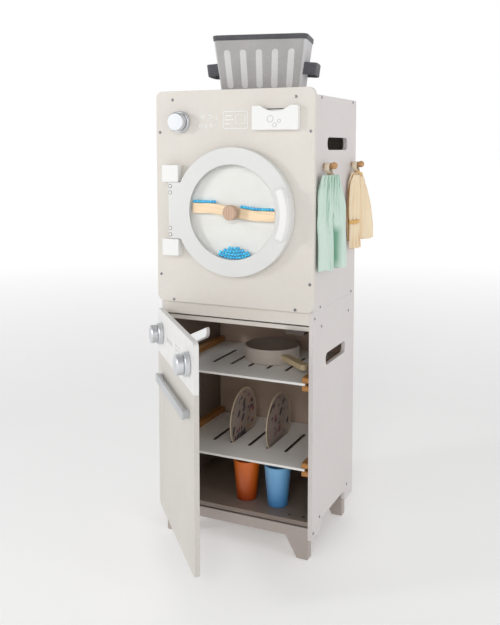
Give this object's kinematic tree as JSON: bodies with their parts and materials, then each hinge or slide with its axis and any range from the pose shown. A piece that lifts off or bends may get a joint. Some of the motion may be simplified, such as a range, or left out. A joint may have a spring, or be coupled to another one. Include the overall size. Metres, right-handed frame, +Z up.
{
  "type": "toy washing machine",
  "caption": "Toy washing machine on a toy dishwasher: round door with a bead paddle, soap drawer, dial, hinged lower door, racks, pegs, basket and dishes.",
  "frame": {"origin": "on the floor, under the middle of the whole object's box with the lower door at its rest angle", "axes": "+Z up, +Y to the back, +X to the right seen from the front"},
  "size_m": [0.4128, 0.5892, 1.1183],
  "materials": {
    "cabinet_paint": "greige satin paint on board",
    "side_paint": "warm grey satin paint on board",
    "back_board": "painted thin board",
    "white_lacquer": "off-white satin lacquer",
    "runner_wood": "oiled hardwood",
    "hinge_steel": "satin",
    "screw_steel": "dull",
    "silver_plastic": "silver grey, fine texture",
    "light_wood": "pale sanded birch",
    "brown_wood": "sanded hardwood",
    "peg_wood": "turned beech",
    "clear_plastic": "clear, polished",
    "bead_blue": "glossy",
    "grey_felt": "pressed felt",
    "dark_felt": "pressed felt",
    "mint_cotton": "soft woven cotton",
    "peach_cotton": "soft woven cotton",
    "pan_paint": "matt coating",
    "beige_wood": "sanded",
    "plate_wood": "painted, with a print",
    "cup_orange": "satin",
    "cup_blue": "satin"
  },
  "bodies": {
    "cabinet": {"lower_side_left": "side_paint", "lower_side_right": "side_paint", "lower_back": "back_board", "lower_top_board": "cabinet_paint", "lower_bottom_board": "cabinet_paint", "lower_rails": "cabinet_paint", "front_foot_rail": "cabinet_paint", "rear_foot_rail": "cabinet_paint", "rack_runners": "runner_wood", "upper_rack": "white_lacquer", "lower_rack": "white_lacquer", "dish_hinge_leaves": "hinge_steel", "dish_hinge_pins": "hinge_steel", "magnet_catch": "white_lacquer", "lower_screws": "screw_steel", "washer_front_panel": "cabinet_paint", "washer_side_left": "side_paint", "washer_side_right": "side_paint", "washer_back": "back_board", "washer_top": "cabinet_paint", "washer_bottom": "cabinet_paint", "dial_spindle": "hinge_steel", "drawer_guides": "light_wood", "door_hinge_blocks": "white_lacquer", "door_pivot_pins": "hinge_steel", "washer_screws": "screw_steel", "stacking_dowels": "light_wood", "pegs": "peg_wood"},
    "dish_door": {"dish_door_panel": "cabinet_paint", "dish_door_leaves": "hinge_steel", "dish_door_handle": "silver_plastic", "dish_knob_spindles": "hinge_steel", "strike_plate": "hinge_steel"},
    "dish_knob_left": {"dish_knob_left": "silver_plastic"},
    "dish_knob_right": {"dish_knob_right": "silver_plastic"},
    "dial": {"dial_knob": "silver_plastic"},
    "drawer": {"drawer_front": "white_lacquer", "drawer_tray": "white_lacquer"},
    "washer_door": {"washer_door_ring": "white_lacquer", "window_pane": "clear_plastic", "chamber_ring": "white_lacquer", "door_back_disc": "white_lacquer", "washer_door_handle": "white_lacquer", "door_cap_screws": "white_lacquer"},
    "paddle": {"paddle": "light_wood", "paddle_knob": "brown_wood", "paddle_spindle": "light_wood", "beads": "bead_blue"},
    "basket": {"basket_body": "grey_felt", "basket_rim": "dark_felt", "basket_handles": "dark_felt"},
    "trousers": {"trousers": "mint_cotton"},
    "shirt": {"shirt": "peach_cotton"},
    "pan": {"pan": "pan_paint", "pan_handle": "beige_wood"},
    "plate_left": {"plate_left": "plate_wood"},
    "plate_right": {"plate_right": "plate_wood"},
    "cup_orange": {"cup_orange": "cup_orange"},
    "cup_blue": {"cup_blue": "cup_blue"}
  },
  "joints": [
    {"name": "dish_door_hinge", "type": "hinge", "parent": "cabinet", "child": "dish_door", "pos_m": [-0.19663, -0.02423, 0.3], "axis": [0, 0, -1], "range_deg": [-48, 62]},
    {"name": "dish_knob_left_spin", "type": "hinge", "parent": "dish_door", "child": "dish_knob_left", "pos_m": [-0.18181, -0.07387, 0.47], "axis": [-0.7431, -0.6691, 0], "continuous": true},
    {"name": "dish_knob_right_spin", "type": "hinge", "parent": "dish_door", "child": "dish_knob_right", "pos_m": [-0.0065, -0.26857, 0.47], "axis": [-0.7431, -0.6691, 0], "continuous": true},
    {"name": "dial_spin", "type": "hinge", "parent": "cabinet", "child": "dial", "pos_m": [-0.14263, -0.04478, 0.933], "axis": [0, -1, 0], "continuous": true},
    {"name": "drawer_slide", "type": "slide", "parent": "cabinet", "child": "drawer", "axis": [0, -1, 0], "range_m": [0, 0.065]},
    {"name": "washer_door_hinge", "type": "hinge", "parent": "cabinet", "child": "washer_door", "pos_m": [-0.15963, -0.04109, 0.7413], "axis": [0, 0, -1], "range_deg": [0, 110]},
    {"name": "paddle_spin", "type": "hinge", "parent": "washer_door", "child": "paddle", "pos_m": [-0.01223, -0.03959, 0.7413], "axis": [0, -1, 0], "continuous": true},
    {"name": "basket_lift", "type": "slide", "parent": "cabinet", "child": "basket", "axis": [0, 0, 1], "range_m": [0, 0.15]},
    {"name": "trousers_lift", "type": "slide", "parent": "cabinet", "child": "trousers", "axis": [0.8944, 0, 0.4472], "range_m": [0, 0.045]},
    {"name": "shirt_lift", "type": "slide", "parent": "cabinet", "child": "shirt", "axis": [0.8944, 0, 0.4472], "range_m": [0, 0.045]},
    {"name": "pan_slide", "type": "slide", "parent": "cabinet", "child": "pan", "axis": [0, -1, 0], "range_m": [0, 0.2]},
    {"name": "plate_left_lift", "type": "slide", "parent": "cabinet", "child": "plate_left", "axis": [0, 0, 1], "range_m": [0, 0.04]},
    {"name": "plate_right_lift", "type": "slide", "parent": "cabinet", "child": "plate_right", "axis": [0, 0, 1], "range_m": [0, 0.04]},
    {"name": "cup_orange_slide", "type": "slide", "parent": "cabinet", "child": "cup_orange", "axis": [0, -1, 0], "range_m": [0, 0.15]},
    {"name": "cup_blue_slide", "type": "slide", "parent": "cabinet", "child": "cup_blue", "axis": [0, -1, 0], "range_m": [0, 0.15]}
  ]
}
